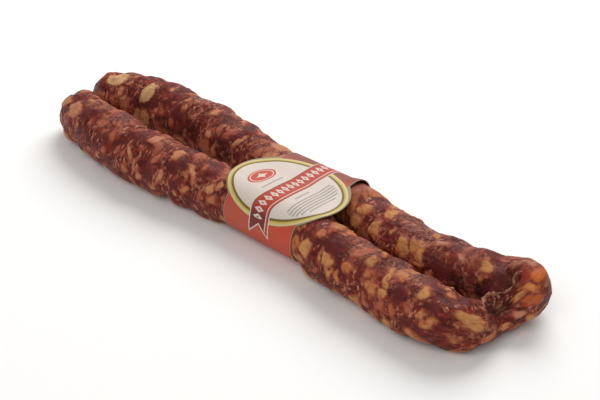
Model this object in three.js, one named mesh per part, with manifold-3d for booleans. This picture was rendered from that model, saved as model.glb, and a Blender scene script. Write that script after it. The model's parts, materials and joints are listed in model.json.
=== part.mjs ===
// A dry-cured pork sausage: one long casing folded in two like a horseshoe, with a paper band round both legs.
// The two free ends touch at the -X end and the kinked fold is at the +X end. Sizes are in millimetres, +Z is up,
// and the origin is on the table under the middle of the whole thing.
import * as THREE from "three";
import Module from "manifold-3d";

const wasm = await Module();
wasm.setup();

// The casing's centreline seen from above, with its radius there: [x, y, radius].
const FRONT_LEG = [
  [-166, -4, 13.6],
  [-148, -13, 15],
  [-126, -19.4, 16.2],
  [-103, -22.8, 16.8],
  [-79, -24.2, 16.6],
  [-55, -23.6, 16.2],
  [-31, -22, 15.6],
  [-8, -20, 14.7],
  [16, -19.6, 14.5],
  [39, -19.8, 14.5],
  [61, -23, 14.7],
  [86, -26, 14.9],
  [111, -28, 14.8],
  [130, -28.8, 14.7],
];
const FOLD = [
  [143, -26.5, 13.9],
  [150.5, -18, 11.6],
  [153.5, -7.5, 9.6],
  [155.5, 2, 11],
];
const REAR_LEG = [
  [156, 10.6, 13.2],
  [149.5, 13.8, 13.8],
  [139, 10.6, 13.8],
  [125, 7.9, 14],
  [109, 7.4, 14.2],
  [91, 8.2, 14.4],
  [72, 10.6, 14.5],
  [54, 13.8, 14.5],
  [34, 15, 14.5],
  [12, 15.2, 14.5],
  [-10, 17, 14.8],
  [-32, 20.6, 15.4],
  [-55, 24, 16],
  [-79, 25.8, 16.4],
  [-103, 26.8, 16.7],
  [-126, 26, 16.6],
  [-148, 21, 16],
  [-170.5, 12.8, 14.4],
];

// How far the casing has settled into a flat where it lies on the table.
const SETTLED = 0.8;
// The rounded free ends: the length over which the casing closes.
const END_LENGTH = 14;
// The free ends are pressed together on this line, and keep a hair's gap. Their flats have soft rims.
const ENDS_MEET_Y = 4;
const ENDS_MEET_BEFORE_X = -120;
const HALF_GAP = 0.35;
const FLAT_RIM = 0.4;

// The casing's waves: length along the casing, number of waves round it, height. They leave it unevenly filled.
const WAVES = [
  [67, 1, 0.34],
  [45, 2, 0.32],
  [33, 1, 0.36],
  [27, 3, 0.3],
  [21, 2, 0.34],
  [17, 4, 0.24],
  [14.5, 1, 0.24],
  [19, 5, 0.2],
];
const GOLDEN_ANGLE = Math.PI * (3 - Math.sqrt(5));

// Swellings and dents where the casing is kinked: distance from the fold's middle along the casing, angle round it
// in degrees (0 faces the other leg, 90 up, 180 outwards), height, spread along and spread round in degrees.
const KINKS = [
  [18, 150, 5.3, 7, 40],
  [16, 222, -1.5, 7, 34],
  [-19, 165, 0.5, 8, 50],
  [8, 60, -1.6, 5, 40],
  [-8, 40, -1.2, 5, 45],
  [4, 114, -4.8, 5.5, 34],
  [17, 84, -1.6, 2.2, 34],
  [30, 108, -2.3, 6, 34],
  [17, 180, -2.2, 4.5, 34],
  [40, 105, 2, 7, 34],
  [24, 112, 2.3, 3, 34],
  [12, 205, -1.2, 4, 34],
];
// The rear leg's shoulder, squeezed out over the inside of the fold: centre, half sizes, turn in degrees.
const SHOULDER = { centre: [148.4, 9, 13.1], half: [9.8, 12, 12.6], turn: -20 };
const SHOULDER_SIDES = 24;
// The casing is built as two tubes that meet this far past the fold's middle, where it bends back on itself.
const TUBES_MEET = 18.5;
// Slivers smaller than this, left where the bodies are joined, are taken out.
const SLIVER = 0.02;
// At a turn the casing reaches inwards by no more than this share of the turn's radius, and creases there.
const INNER_REACH = 0.7;
const CREASE_SOFTNESS = 0.8;
const STEEPEST_INWARDS = 0.05;
const LEAST_TURN = 1e-4;
// The turn is measured over this length either way.
const TURN_SPAN = 3;

// The paper band, a closed loop round both legs.
const PAPER = 0.35;
const BAND_X = 26.5;
const BAND_HALF_WIDTH = 24.5;
const BAND_FRONT_Y = -19.7;
const BAND_REAR_Y = 14.8;
const BAND_RADIUS = 15.3;
// Its die-cut oval: centre along the paper from the middle of the top towards the rear, half length and half girth.
const OVAL_S = -8;
const OVAL_HALF_LENGTH = 36;
const OVAL_HALF_GIRTH = 29.5;
// Under the band the casing is pressed to a smooth tube, clear of the paper, and swells again past it.
const PRESSED_RADIUS = 14.6;
const PRESSED_HALF_LENGTH = 26;
const SWELLS_WITHIN = 11;
// There it also lies a little above the table, with the paper under it, and comes down past the paper's edge.
const BAND_FLOOR = PAPER + 0.3;
const FLOOR_KEPT = 1.5;
const FLOOR_ENDS = 7;

// The mesh: rings across the casing, closer together within this distance of the fold's middle.
const RING_STEP = 4.9;
const FOLD_RING_STEP = 2.9;
const FOLD_REACH = 34;
const RING_SIDES = 30;
const END_RINGS = 5;
const BAND_STEPS = 72;
const BAND_COLUMNS = 8;
const CURVE_DIVISIONS = 2000;

const { lerp, smoothstep, degToRad, clamp } = THREE.MathUtils;

// The smaller of two lengths, rounded off where they meet.
function softMin(a, b, softness) {
  return a - softness * Math.log1p(Math.exp((a - b) / softness));
}

// The centreline as a smooth curve whose z is the radius, with its length and the place of the fold's middle on it.
function centreline() {
  const stations = [...FRONT_LEG, ...FOLD, ...REAR_LEG];
  const points = stations.map((station) => new THREE.Vector3(...station));
  const curve = new THREE.CatmullRomCurve3(points, false, "catmullrom", 0.5);
  curve.arcLengthDivisions = CURVE_DIVISIONS;
  const lengths = curve.getLengths();
  const foldStation = FRONT_LEG.length + FOLD.length / 2;
  const foldMiddle = lengths[Math.round((foldStation / (points.length - 1)) * CURVE_DIVISIONS)];
  return { curve, length: curve.getLength(), foldMiddle };
}

// Heading of the centreline, seen from above, at a distance along it.
function headingAt(line, s) {
  const tangent = line.curve.getTangentAt(clamp(s / line.length, 0, 1));
  return Math.atan2(tangent.y, tangent.x);
}

// How fast the centreline turns left, in radians a millimetre.
function turnAt(line, s) {
  let change = headingAt(line, s + TURN_SPAN) - headingAt(line, s - TURN_SPAN);
  if (change < -Math.PI) change += 2 * Math.PI;
  if (change > Math.PI) change -= 2 * Math.PI;
  return change / (2 * TURN_SPAN);
}

// 1 where the band presses the casing smooth, 0 away from it.
function pressedAt(x) {
  return 1 - smoothstep(Math.abs(x - BAND_X), PRESSED_HALF_LENGTH, PRESSED_HALF_LENGTH + SWELLS_WITHIN);
}

// Height of the casing's waves at a distance along it and an angle round it.
function wavesAt(s, angle) {
  return WAVES.reduce(
    (sum, [length, count, height], k) =>
      sum + height * Math.cos((2 * Math.PI * s) / length + count * angle + k * GOLDEN_ANGLE),
    0,
  );
}

// Height of the kinks' swellings and dents.
function kinksAt(fromFold, angle) {
  return KINKS.reduce((sum, [along, degrees, height, spreadAlong, spreadRound]) => {
    const d = (fromFold - along) / spreadAlong;
    const round = (1 - Math.cos(angle - degToRad(degrees))) / degToRad(spreadRound) ** 2;
    return sum + height * Math.exp(-0.5 * d * d - round);
  }, 0);
}

// The casing's radius at a distance along it and an angle round it.
function radiusAt(line, s, angle, stationRadius, pressed) {
  const free = stationRadius + wavesAt(s, angle) + kinksAt(s - line.foldMiddle, angle);
  const inwards = Math.max(Math.cos(angle), STEEPEST_INWARDS);
  const turn = Math.max(turnAt(line, s), LEAST_TURN);
  const radius = softMin(lerp(free, PRESSED_RADIUS, pressed), INNER_REACH / (turn * inwards), CREASE_SOFTNESS);
  const toEnd = Math.min(s, line.length - s);
  if (toEnd >= END_LENGTH) return radius;
  return radius * Math.sqrt(1 - (1 - toEnd / END_LENGTH) ** 2);
}

// One point of the casing's skin: out from the centreline, kept off the table and off the other free end.
function skinPoint(line, s, angle) {
  const { x: middleX, y: lineY, z: stationRadius } = line.curve.getPointAt(s / line.length);
  const heading = headingAt(line, s);
  const pressed = pressedAt(middleX);
  const isFront = s < line.foldMiddle;
  const middleY = lerp(lineY, isFront ? BAND_FRONT_Y : BAND_REAR_Y, pressed);
  const middleZ = lerp(stationRadius - SETTLED, BAND_RADIUS, pressed);
  const radius = radiusAt(line, s, angle, stationRadius, pressed);
  const out = radius * Math.cos(angle);
  const x = middleX - out * Math.sin(heading);
  let y = middleY + out * Math.cos(heading);
  if (middleX < ENDS_MEET_BEFORE_X) {
    const side = isFront ? 1 : -1;
    y = ENDS_MEET_Y + side * softMin(side * (y - ENDS_MEET_Y), -HALF_GAP, FLAT_RIM);
  }
  const pastBand = Math.abs(x - BAND_X) - BAND_HALF_WIDTH;
  const floor = BAND_FLOOR * (1 - smoothstep(pastBand, FLOOR_KEPT, FLOOR_ENDS));
  return [x, y, Math.max(middleZ + radius * Math.sin(angle), floor)];
}

// A mesh from a list of points and a list of triangles' corners.
function meshGeometry(positions, index) {
  return new THREE.BufferGeometry()
    .setAttribute("position", new THREE.Float32BufferAttribute(positions, 3))
    .setIndex(index);
}

// A closed surface from rings of equal count, closed at both ends by a single point.
function closedTube(rings, firstTip, lastTip) {
  const sides = rings[0].length;
  const first = rings.length * sides;
  const last = first - sides;
  const index = [];
  for (let j = 0; j < sides; j++) {
    const k = (j + 1) % sides;
    for (let start = 0; start < last; start += sides) {
      const end = start + sides;
      index.push(start + j, start + k, end + j, start + k, end + k, end + j);
    }
    index.push(first, k, j, first + 1, last + j, last + k);
  }
  return meshGeometry([...rings.flat(), firstTip, lastTip].flat(), index);
}

// Where the rings stand along the casing: closer together at the rounded ends and in the fold.
function ringPlaces(line) {
  const start = [];
  for (let i = 1; i <= END_RINGS; i++) {
    start.push(END_LENGTH * (1 - Math.cos((Math.PI / 2) * (i / END_RINGS))));
  }
  const end = start.map((s) => line.length - s).reverse();
  const body = [];
  let s = END_LENGTH + RING_STEP;
  while (s < line.length - END_LENGTH - RING_STEP / 2) {
    body.push(s);
    s += Math.abs(s - line.foldMiddle) < FOLD_REACH ? FOLD_RING_STEP : RING_STEP;
  }
  return [...start, ...body, ...end];
}

// A closed body from a closed geometry.
function bodyOf(geometry) {
  return new wasm.Manifold(
    new wasm.Mesh({
      numProp: 3,
      vertProperties: geometry.getAttribute("position").array,
      triVerts: Uint32Array.from(geometry.index.array),
    }),
  );
}

// The filled casing: its two tubes and the shoulder, joined to one body.
function sausageGeometry() {
  const line = centreline();
  const angles = Array.from({ length: RING_SIDES }, (_, j) => (2 * Math.PI * j) / RING_SIDES);
  const places = ringPlaces(line);
  const rings = places.map((s) => angles.map((angle) => skinPoint(line, s, angle)));
  const cut = places.findIndex((s) => s >= line.foldMiddle + TUBES_MEET);
  const middle = [0, 1, 2].map((k) => rings[cut].reduce((sum, point) => sum + point[k], 0) / RING_SIDES);
  const front = closedTube(rings.slice(0, cut + 1), skinPoint(line, 0, 0), middle);
  const rear = closedTube(rings.slice(cut), middle, skinPoint(line, line.length, 0));
  const shoulder = wasm.Manifold.sphere(1, SHOULDER_SIDES)
    .scale(SHOULDER.half)
    .rotate([0, 0, SHOULDER.turn])
    .translate(SHOULDER.centre);
  const joined = bodyOf(front).add(bodyOf(rear)).add(shoulder).simplify(SLIVER);
  const { vertProperties, triVerts } = joined.getMesh();
  return meshGeometry(vertProperties, Array.from(triVerts));
}

// A point of the band's section, as [y, z]: at a distance along the paper from the middle of the top towards the
// rear, and an inset from its outer face. The section is a stadium round the two legs.
function bandPoint(s, inset) {
  const half = (BAND_REAR_Y - BAND_FRONT_Y) / 2;
  const middle = (BAND_FRONT_Y + BAND_REAR_Y) / 2;
  const radius = BAND_RADIUS - inset;
  const halfTurn = Math.PI * BAND_RADIUS;
  const side = Math.sign(s) || 1;
  const along = Math.abs(s);
  if (along <= half) return [middle + s, BAND_RADIUS + radius];
  if (along >= half + halfTurn) return [middle + side * (2 * half + halfTurn - along), BAND_RADIUS - radius];
  const angle = (along - half) / BAND_RADIUS;
  return [middle + side * (half + radius * Math.sin(angle)), BAND_RADIUS + radius * Math.cos(angle)];
}

// Half the paper's width at a distance along it: straight, and wider where the oval is.
function bandHalfWidth(s) {
  const t = clamp((s - OVAL_S) / OVAL_HALF_GIRTH, -1, 1);
  return Math.max(BAND_HALF_WIDTH, OVAL_HALF_LENGTH * Math.sqrt(1 - t * t));
}

// The paper band: across each step round it, the outer face from edge to edge and the inner face back again.
function bandGeometry() {
  const girth = 2 * (BAND_REAR_Y - BAND_FRONT_Y) + 2 * Math.PI * BAND_RADIUS;
  const loop = 2 * (BAND_COLUMNS + 1);
  const count = BAND_STEPS * loop;
  const positions = [];
  const index = [];
  for (let i = 0; i < BAND_STEPS; i++) {
    const s = girth * (i / BAND_STEPS - 0.5);
    const across = bandHalfWidth(s);
    const outer = bandPoint(s, 0);
    const inner = bandPoint(s, PAPER);
    for (let j = 0; j < loop; j++) {
      const column = Math.min(j, loop - 1 - j);
      const x = BAND_X + across * ((2 * column) / BAND_COLUMNS - 1);
      positions.push(x, ...(j <= BAND_COLUMNS ? outer : inner));
      const a = i * loop + j;
      const b = i * loop + ((j + 1) % loop);
      const c = (a + loop) % count;
      const d = (b + loop) % count;
      index.push(a, b, c, b, d, c);
    }
  }
  return meshGeometry(positions, index);
}

const casing = new THREE.MeshStandardMaterial({ color: "#7c3a2c", roughness: 0.45, metalness: 0 });
const printedPaper = new THREE.MeshStandardMaterial({ color: "#b8533f", roughness: 0.6, metalness: 0 });

const sausage = new THREE.Mesh(sausageGeometry(), casing);
sausage.name = "sausage";

const paperBand = new THREE.Mesh(bandGeometry(), printedPaper);
paperBand.name = "paper_band";

const part = new THREE.Group();
part.add(sausage, paperBand);

export default part;
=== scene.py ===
"""The looks of a dry-cured pork sausage, folded in two with a paper band round both legs."""

import json
import math

import bpy
import numpy as np
from mathutils import Matrix, Vector

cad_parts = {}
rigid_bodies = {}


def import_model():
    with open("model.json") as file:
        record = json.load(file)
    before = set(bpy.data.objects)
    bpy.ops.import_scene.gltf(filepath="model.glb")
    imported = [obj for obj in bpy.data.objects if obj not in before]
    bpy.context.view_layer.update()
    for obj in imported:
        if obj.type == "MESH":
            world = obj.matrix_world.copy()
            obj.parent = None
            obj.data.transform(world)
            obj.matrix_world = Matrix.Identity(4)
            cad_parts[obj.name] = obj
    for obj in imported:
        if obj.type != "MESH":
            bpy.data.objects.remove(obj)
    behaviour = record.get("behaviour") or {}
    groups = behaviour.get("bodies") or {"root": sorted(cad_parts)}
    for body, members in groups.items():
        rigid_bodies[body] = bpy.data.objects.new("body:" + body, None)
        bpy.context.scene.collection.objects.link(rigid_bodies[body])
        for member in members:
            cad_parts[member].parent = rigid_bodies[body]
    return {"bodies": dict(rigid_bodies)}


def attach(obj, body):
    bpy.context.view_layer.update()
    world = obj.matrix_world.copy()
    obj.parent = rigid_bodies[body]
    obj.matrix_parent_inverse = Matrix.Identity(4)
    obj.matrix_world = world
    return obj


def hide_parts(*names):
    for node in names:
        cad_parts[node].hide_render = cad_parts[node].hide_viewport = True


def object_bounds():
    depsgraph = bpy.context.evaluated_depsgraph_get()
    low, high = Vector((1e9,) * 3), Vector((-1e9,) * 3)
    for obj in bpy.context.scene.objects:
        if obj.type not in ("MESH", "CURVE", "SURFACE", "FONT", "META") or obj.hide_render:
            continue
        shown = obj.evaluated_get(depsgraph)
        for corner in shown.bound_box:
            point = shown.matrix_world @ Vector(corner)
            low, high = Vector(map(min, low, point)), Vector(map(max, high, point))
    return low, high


bl_info = {
    "name": "Cured Sausage",
    "version": (1, 0, 0),
    "blender": (4, 5, 0),
    "location": "View3D > Sidebar > Sausage",
    "description": "A folded dry-cured sausage with marbled filling, wrinkled casing and a paper band",
    "category": "Object",
}

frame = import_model()
CAD_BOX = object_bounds()
BODY = next(iter(frame["bodies"]))
MM = 0.001

# The casing's centreline seen from above, with its radius there: x, y, radius. All sizes here are in
# millimetres.
FRONT_LEG = [
    (-166, -4, 13.6), (-148, -13, 15), (-126, -19.4, 16.2), (-103, -22.8, 16.8), (-79, -24.2, 16.6),
    (-55, -23.6, 16.2), (-31, -22, 15.6), (-8, -20, 14.7), (16, -19.6, 14.5), (39, -19.8, 14.5),
    (61, -23, 14.7), (86, -26, 14.9), (111, -28, 14.8), (130, -28.8, 14.7),
]
FOLD = [(143, -26.5, 13.9), (150.5, -18, 11.6), (153.5, -7.5, 9.6), (155.5, 2, 11)]
REAR_LEG = [
    (156, 10.6, 13.2), (149.5, 13.8, 13.8), (139, 10.6, 13.8), (125, 7.9, 14), (109, 7.4, 14.2),
    (91, 8.2, 14.4), (72, 10.6, 14.5), (54, 13.8, 14.5), (34, 15, 14.5), (12, 15.2, 14.5), (-10, 17, 14.8),
    (-32, 20.6, 15.4), (-55, 24, 16), (-79, 25.8, 16.4), (-103, 26.8, 16.7), (-126, 26, 16.6),
    (-148, 21, 16), (-170.5, 12.8, 14.4),
]
# How far the casing has sunk, its rounded ends, and the flats where the two ends almost touch.
SETTLED = 0.8
END_LENGTH = 14
ENDS_MEET_Y = 4
ENDS_MEET_BEFORE_X = -120
HALF_GAP = 0.35
FLAT_RIM = 0.4
# Waves of the filling: length along the casing, number round it, height. Each is shifted by the golden
# angle against the one before.
WAVES = [
    (67, 1, 0.34), (45, 2, 0.32), (33, 1, 0.36), (27, 3, 0.3), (21, 2, 0.34), (17, 4, 0.24),
    (14.5, 1, 0.24), (19, 5, 0.2),
]
GOLDEN_ANGLE = math.pi * (3 - math.sqrt(5))
# Swellings and dents at the fold: distance from its middle, angle round in degrees, height, spread along
# and round.
KINKS = [
    (18, 150, 5.3, 7, 40), (16, 222, -1.5, 7, 34), (-19, 165, 0.5, 8, 50), (8, 60, -1.6, 5, 40),
    (-8, 40, -1.2, 5, 45), (4, 114, -4.8, 5.5, 34), (17, 84, -1.6, 2.2, 34), (30, 108, -2.3, 6, 34),
    (17, 180, -2.2, 4.5, 34), (40, 105, 2, 7, 34), (24, 112, 2.3, 3, 34), (12, 205, -1.2, 4, 34),
]
# The rear leg's shoulder, squeezed out over the fold, an ellipsoid: its middle, half sizes and turn in
# degrees.
SHOULDER_CENTRE = (148.4, 9, 13.1)
SHOULDER_HALF = (9.8, 12, 12.6)
SHOULDER_TURN = -20
# The crease inside the turn: the share of the turn's radius that the casing fills, and how softly it stops
# there. The two least values keep a division finite, and the turn is measured so far each way.
INNER_REACH = 0.7
CREASE_SOFTNESS = 0.8
LEAST_INWARDS = 0.05
LEAST_TURN = 1e-4
TURN_SPAN = 3
# The paper band, its section a stadium round both legs, and its oval.
PAPER = 0.35
BAND_X = 26.5
BAND_HALF_WIDTH = 24.5
BAND_FRONT_Y = -19.7
BAND_REAR_Y = 14.8
BAND_RADIUS = 15.3
OVAL_S = -8
OVAL_HALF_LENGTH = 36
OVAL_HALF_GIRTH = 29.5
# The casing under the band: its radius, its pressed length and how soon it swells again past it.
PRESSED_RADIUS = 14.6
PRESSED_HALF_LENGTH = 26
SWELLS_WITHIN = 11
# The casing's lowest level under the band: kept so far past the paper's edge, and gone so far past it.
BAND_FLOOR = PAPER + 0.3
FLOOR_KEPT = 1.5
FLOOR_ENDS = 7
BAND_GIRTH = 2 * (BAND_REAR_Y - BAND_FRONT_Y) + 2 * math.pi * BAND_RADIUS
# The centreline is measured in this many steps. Its direction is taken from the points this share of it
# before and after.
CURVE_DIVISIONS = 2000
HAIR = 1e-4

# The largest lumps of fat on the shown sides: distance along the casing, angle round it in degrees, half
# length, half width, turn and tint. The tint is 0 for tan, 0.5 orange, 1 pinkish, 1.5 bright orange, 2 dark
# red, -0.5 orange with painted light on it, -1 dull and -1.5 cream.
PLACED_LUMPS = [
    (18, 128, 6, 4, 0, 0.1), (35, 124, 8, 4.2, 0.1, 0.3), (57, 130, 2.4, 2, 0, 0.9),
    (66, 120, 3, 3.2, 0, 0.9), (76, 103, 5, 2, 0.3, 0.95), (71, 129, 3, 1.4, 0, 0.9),
    (88, 148, 1.8, 1.8, 0, 0.9), (90, 92, 1.6, 3.4, 0.3, 0.9), (98, 143, 1.7, 4.6, -0.36, 0.2),
    (102.5, 160, 1.2, 3.4, -0.2, 0.5), (96, 178, 1.5, 3.4, 0, 0.6), (103, 122, 2, 1.8, 0, 0.95),
    (107, 92, 4.2, 4.2, 0, 0.55), (112.5, 108, 1.8, 4.6, -0.3, 0.9), (119, 118, 2, 2.4, 0, 0.85),
    (124, 160, 1.8, 5.2, 0, 0.15), (127, 103, 4.4, 4.4, 0, 0.35), (71, 186, 2.4, 2, 0.2, 0.4),
    (118, 190, 2.5, 2.8, 0, 0.4), (106, 182, 1.8, 2.6, 0, 0.6), (142, 124, 1.9, 6, -0.67, 0.2),
    (159, 138, 3.6, 3.4, 0, 0.3), (163.5, 131, 2.4, 3.4, 0, 0.25), (146, 99, 2.2, 4, -0.5, 0.8),
    (152, 161, 2.2, 2.4, 0, 0.9), (161, 160, 3.8, 2.4, 0, 0.7), (141, 166, 1.9, 3.4, 0, 0.6),
    (146, 155, 1.2, 1.2, 0, 0.6), (134, 185, 2, 2, 0, 0.5), (234, 155, 4, 5, 0.3, 0.05),
    (249, 148, 4.4, 3.4, 0, 0.15), (253, 168, 2.2, 4.4, 0, 0.25), (245, 152, 1.8, 2.8, 0, 0.3),
    (240.5, 95, 1.6, 5, 0.25, 0.9), (243, 183, 3, 1.6, 0, 0.8), (262, 140, 3.6, 2.6, 0, 0.6),
    (258, 165, 1.8, 2.8, 0, 0.4), (271, 108, 2.8, 3, 0, 0.2), (273, 129, 1.8, 3.8, 0.1, 0.55),
    (283, 118, 3.1, 6, -0.1, 0.1), (286, 148, 3, 3.2, -0.4, 0.2), (278, 151, 4.2, 3.2, 0.3, 0.5),
    (276, 185, 3.6, 2.8, 0, 0.9), (293, 168, 2, 4.2, 0, 0.7), (289, 68, 3.4, 5.4, -0.1, 0.3),
    (299, 150, 1.8, 2.4, 0, 0.9), (303.5, 112, 2.5, 5.4, 0.45, 0.1), (305.5, 150, 1.8, 2.6, 0, 0.3),
    (309.5, 157, 1.7, 3, 0, 0.3), (313, 91, 2, 2.8, 0, 0.5), (311, 76, 2.4, 1.8, 0, 0.3),
    (320, 141, 4.6, 4.8, 0, 0.2), (316, 186, 1.2, 2.4, 0, 0.3), (327, 186, 4.4, 3.8, 0, 0.4),
    (344, 161, 2.5, 3, 0, -1), (337, 178, 3.4, 3.2, 0, 0.35), (350, 140, 3, 3.8, 0, 1.3),
    (355.2, 120, 2.6, 4.2, 0, 1.5), (354, 102, 2.4, 2.8, 0, 2), (351.7, 118, 2, 5, 0, -0.5),
    (347.4, 122, 3, 3.2, 0, -0.15), (357.8, 106, 1.7, 6, 0, -1), (367, 98, 2.4, 1.4, 0.5, 0.9),
    (373.6, 60, 3.2, 4.4, 0, 0.34), (374.4, 38, 1.9, 3.8, 0, 0.34), (379.6, 62, 1.4, 3.6, 0, 0.9),
    (385, 96, 1.5, 5.6, 0.3, 0.9), (385, 62, 1.8, 2.4, 0, -1), (397.5, 77, 6.4, 2, -0.64, -1),
    (408, 42, 4.3, 4.8, 0, 0.32), (415, 38, 3.6, 5.8, -0.2, 0.15), (403, 18, 3.8, 2, 0, 0.4),
    (433, 85, 3.1, 5.8, 0, 0.22), (434, 38, 3.8, 5.2, 0.2, 0.2), (424, 52, 1.5, 2.2, 0, 0.05),
    (446, 62, 3.6, 4.4, 0, 0.25), (448, 30, 3.4, 4, 0, 0.28), (545, 60, 1.9, 6.6, 0.4, 0.3),
    (556, 60, 2.3, 4.6, 0.3, 0.9), (565, 52, 2.8, 3.3, 0, 0.9), (571, 35, 2.1, 3.4, 0, 0.2),
    (579.5, 83, 2.8, 4.6, 0, 0.4), (602, 77, 3.5, 1.6, 0.5, 0.25), (598.5, 60, 1.8, 2.8, 0, 0.5),
    (590, 45, 1.8, 1.8, 0, 0.95), (617, 28, 2.8, 2.3, 0, 0.9), (622, 22, 3.2, 1.9, 0, 0.5),
    (635.5, 60, 4.8, 6, 0.3, -1.5), (662.5, 66, 8.5, 4.8, 0, -1.5), (657, 38, 2.4, 2.8, 0, 0.45),
    (656, 22, 1.9, 2.8, 0, 0.3), (528, 60, 2.8, 2.8, 0, 0.9), (535, 95, 2.8, 2.8, 0, 0.95),
    (605, 15, 2.8, 2.8, 0.3, 0.9),
]
# The shown sides, where few other lumps are scattered: from and to along the casing, from and to round it.
SHOWN_SIDES = [(0, 170, 60, 195), (228, 345, 60, 195), (345, 450, 0, 115), (530, 687, 0, 115)]
# The scattered lumps, coarse and then fine: their spacing, usual half length, its spread, the share of
# places that hold one, and the share of those that stays on the shown sides.
LUMP_LAYERS = [(9.8, 3.0, 0.3, 0.95, 0.25), (6.2, 1.15, 0.35, 0.45, 0.65)]
# Where in its place a scattered lump lies, how much wider than long it is, the spread of its turn, the
# share of tan ones, the tint that parts them from the rest, and how clear they keep of the placed lumps
# and of the plain patches.
LUMP_STRAYS = (0.1, 0.9)
LUMP_WIDER = (1.0, 2.2)
LUMP_TURNS = 0.55
TAN_SHARE = 0.55
TAN_BELOW = 0.4
CLEAR_OF_PLACED = 0.8
CLEAR_OF_PLAIN = 1.1
# Past this distance from the fold a scattered lump is tan or pinkish, hardly orange.
PINKER_FROM_FOLD = 165
TAN_UP_TO = 0.3
PINKISH = 0.8
# The noises that make a lump's edge ragged, height and size, the seam between two lumps, the power that
# rounds a lump's box, and how far outside every lump the rest counts as.
EDGE_NOISES = [(2.0, 6.5), (0.9, 2.2)]
SEAM = 0.35
BOX_POWER = 2.5
OUTSIDE = -9.0
# Pale strands of bunched casing across the fold: their points in space and their radius.
STRANDS = [
    ([(153.6, -16.2, 20.4), (150.6, -11, 18), (147.3, -4.6, 15.6), (148.3, -1.9, 17.2), (151.2, -0.8, 17.9),
      (153, -1, 16.4)], 0.9),
    ([(149.6, -1.6, 17.6), (151.6, -2.4, 16), (152.2, -5.4, 14.6)], 0.7),
    ([(151.2, -0.8, 17.9), (154.1, 2.2, 19.1), (155.5, 4.8, 20.4), (155.9, 6.6, 21.8), (153.8, 8, 23.2),
      (154.8, 10, 26.1), (156.9, 11.7, 27.4)], 0.6),
]
STRAND_SIDES = 10
STRAND_STEPS = 8
# How far a strand wanders from its points and hangs below them, and how uneven its radius is.
STRAND_WANDER = 0.6
STRAND_DROP = 0.25
STRAND_UNEVEN = 0.8
# Pockets, dented and painted dark as shade: distance along, angle round, half length, half height round,
# depth, darkness of the painted shade. The darkest has this share of the painted shade's colour.
PAINTED_SHADE_STRENGTH = 0.82
POCKET_DENTS_AND_PAINTED_SHADE = [
    (334, 112, 6, 7, 0.3, 1), (341.5, 112, 4.4, 7, 0.4, 1), (338, 134, 4.4, 5, 0.3, 0.6),
    (337, 90, 5, 8, 0.2, 0.85), (373, 10, 3.6, 7, 1.2, 1), (384, 8, 4, 7, 0.8, 0.8),
    (640, 18, 10, 6, 0.5, 0.5), (556, 16, 10, 6, 0.5, 0.5), (588, 12, 12, 7, 0.5, 0.5),
    (612, 4, 10, 5, 0.3, 0.5), (440, 12, 8, 4, 0.3, 0.5), (366, 30, 4, 6, 0, 0.8),
]
# Patches of plain lean: distance along, angle round, half length, half height round.
PLAIN_PATCHES = [
    (248, 114, 7.5, 7.5), (293, 132, 3.4, 9), (300, 186, 5, 5), (391, 30, 7.5, 6), (308, 130, 3, 4),
    (320, 98, 6, 4), (91, 103, 5, 3.5), (104, 108, 5, 3.5), (136, 114, 5, 4), (627, 40, 7, 6),
    (602, 40, 6, 5), (51, 108, 6, 3.5), (369, 84, 5, 5), (424, 60, 3, 5), (332, 140, 4, 6), (47, 126, 4, 4),
    (49, 162, 4, 4), (84, 134, 4, 4), (104, 212, 4, 4), (130, 132, 4, 4), (146, 82, 4, 4), (115, 166, 4, 4),
    (97, 106, 4, 4), (602, 44, 4, 4), (568, 80, 4, 4), (144, 186, 4, 4), (133, 168, 4, 4),
]

# Rings and sides of the casing's skin, with the rings closer together at each rounded end, and of the
# shoulder.
SKIN_RINGS = 812
SKIN_SIDES = 116
END_RINGS = 15
SHOULDER_RINGS = 34
SHOULDER_SIDES = 72
# The radius at which a length round the casing is measured, and the seed of the scattered lumps.
ROUND_RADIUS = 15
SEED = 20
# Where a lump of fat begins to stand out and is at its full height, and how far the lean lies below the plain
# surface, as a share of that height.
FAT_RISES = (-0.6, 1.2)
LEAN_BELOW = 0.4
# The oval begins to cover the casing at the first height and covers it from the second on. The relief
# comes back between the first two distances past the paper, and is full at the last one past a tip.
OVAL_COVERS = (18, 27)
RELIEF_PAST_BAND = (1, 8)
RELIEF_PAST_TIP = 5
# What the shoulder and the strands hold of each field that is worked out on the skin. The shoulder and the
# strands all get a little painted shade.
ELSEWHERE = {"fat": -1.4, "tint": 1, "painted_pocket_shade": 0.2, "plain": 0.7}


def smooth(x, low, high):
    """0 below low, 1 above high, and a smooth cubic between."""
    t = np.clip((x - low) / (high - low), 0, 1)
    return t * t * (3 - 2 * t)


def mix(a, b, t):
    """a where t is 0, b where t is 1."""
    return a + (b - a) * t


def soft_min(a, b, softness):
    """The smaller of a and b, rounded off where they meet."""
    return a - softness * np.logaddexp(0, (a - b) / softness)


def lattice(corner, seed):
    """A number from 0 to 1 for each whole-numbered point, the same each run: its coordinates mixed as
    integers."""
    x, y, z = np.moveaxis(corner.astype(np.int64), -1, 0)
    h = (x * 374761393 + y * 668265263 + z * 2147483647 + seed * 974634777) & 0xFFFFFFFF
    h = ((h ^ (h >> 13)) * 1274126177) & 0xFFFFFFFF
    h = ((h ^ (h >> 16)) * 2246822519) & 0xFFFFFFFF
    return ((h ^ (h >> 15)) & 0xFFFFFF) / 0xFFFFFF


def noise(p, size, seed):
    """Smooth noise from -1 to 1 with lumps of a size: the lattice's numbers at the eight corners, eased
    between."""
    q = p / np.asarray(size, float)
    whole = np.floor(q)
    t = q - whole
    t = t * t * t * (t * (t * 6 - 15) + 10)
    total = 0
    for corner in np.ndindex(2, 2, 2):
        weight = np.prod(np.where(np.array(corner) == 1, t, 1 - t), axis=-1)
        total = total + weight * lattice(whole + corner, seed)
    return 2 * total - 1


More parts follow.
